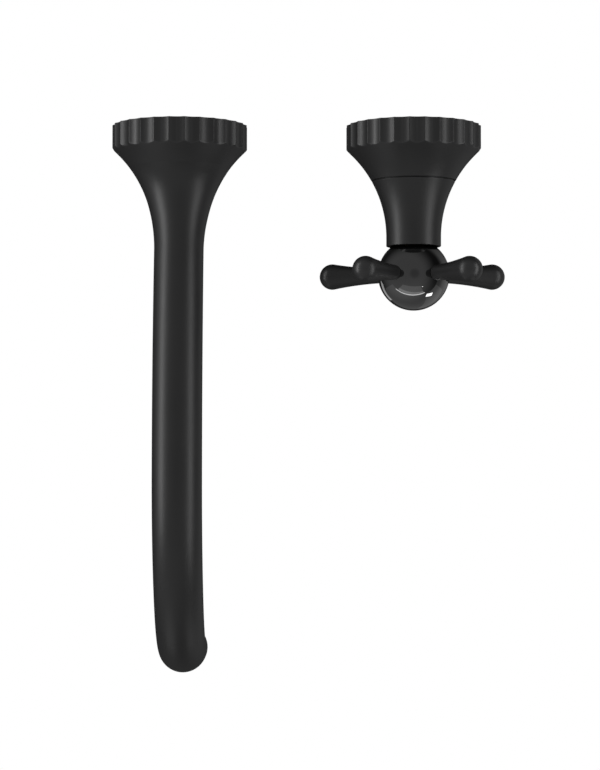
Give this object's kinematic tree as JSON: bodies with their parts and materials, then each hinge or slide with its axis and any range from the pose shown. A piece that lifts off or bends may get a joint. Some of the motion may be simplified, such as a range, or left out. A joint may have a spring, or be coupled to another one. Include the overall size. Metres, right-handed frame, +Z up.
{
  "type": "wall mounted bath faucet",
  "caption": "Wall mounted bath faucet: a long curved spout and a quarter-turn valve with a spoked ball handle, each on a round fluted wall flange.",
  "frame": {"origin": "on the spout's axis, at the finished face of the wall", "axes": "+X along the wall from the spout to the valve, -Y out of the wall towards the user, +Z up"},
  "size_m": [0.169, 0.2366, 0.0809],
  "materials": {
    "satin_black": "satin black coating on brass",
    "gloss_black": "polished black, mirror smooth",
    "brass": "machined brass",
    "steel": "plain stainless steel",
    "rubber": "moulded black rubber",
    "fibre": "pressed red fibre",
    "ceramic": "lapped alumina",
    "pale_plastic": "moulded acetal"
  },
  "bodies": {
    "root": {"spout_body": "satin_black", "valve_bell": "satin_black", "valve_sleeve": "satin_black", "spout_wall_gasket": "rubber", "bell_wall_gasket": "rubber", "connector_o_rings": "rubber", "aerator_washer": "rubber", "sleeve_o_ring": "rubber", "seat_seal": "rubber", "headwork_washer": "fibre", "spout_connector": "brass", "headwork_body": "brass", "aerator_housing": "brass", "spout_locking_screw": "steel", "aerator_screen": "steel", "aerator_insert": "pale_plastic", "fixed_disc": "ceramic"},
    "handle": {"spindle_o_rings": "rubber", "spindle": "brass", "hub_insert": "brass", "hub_locking_screw": "steel", "arm_studs": "steel", "spindle_clip": "steel", "thrust_washer": "pale_plastic", "turning_disc": "ceramic", "hub_ball": "gloss_black", "arm_1": "satin_black", "arm_2": "satin_black", "arm_3": "satin_black", "arm_4": "satin_black", "arm_5": "satin_black"}
  },
  "joints": [
    {"name": "handle_turn", "type": "hinge", "parent": "root", "child": "handle", "pos_m": [0.1, -0.0638, 0], "axis": [0, -1, 0], "range_deg": [0, 90]}
  ]
}
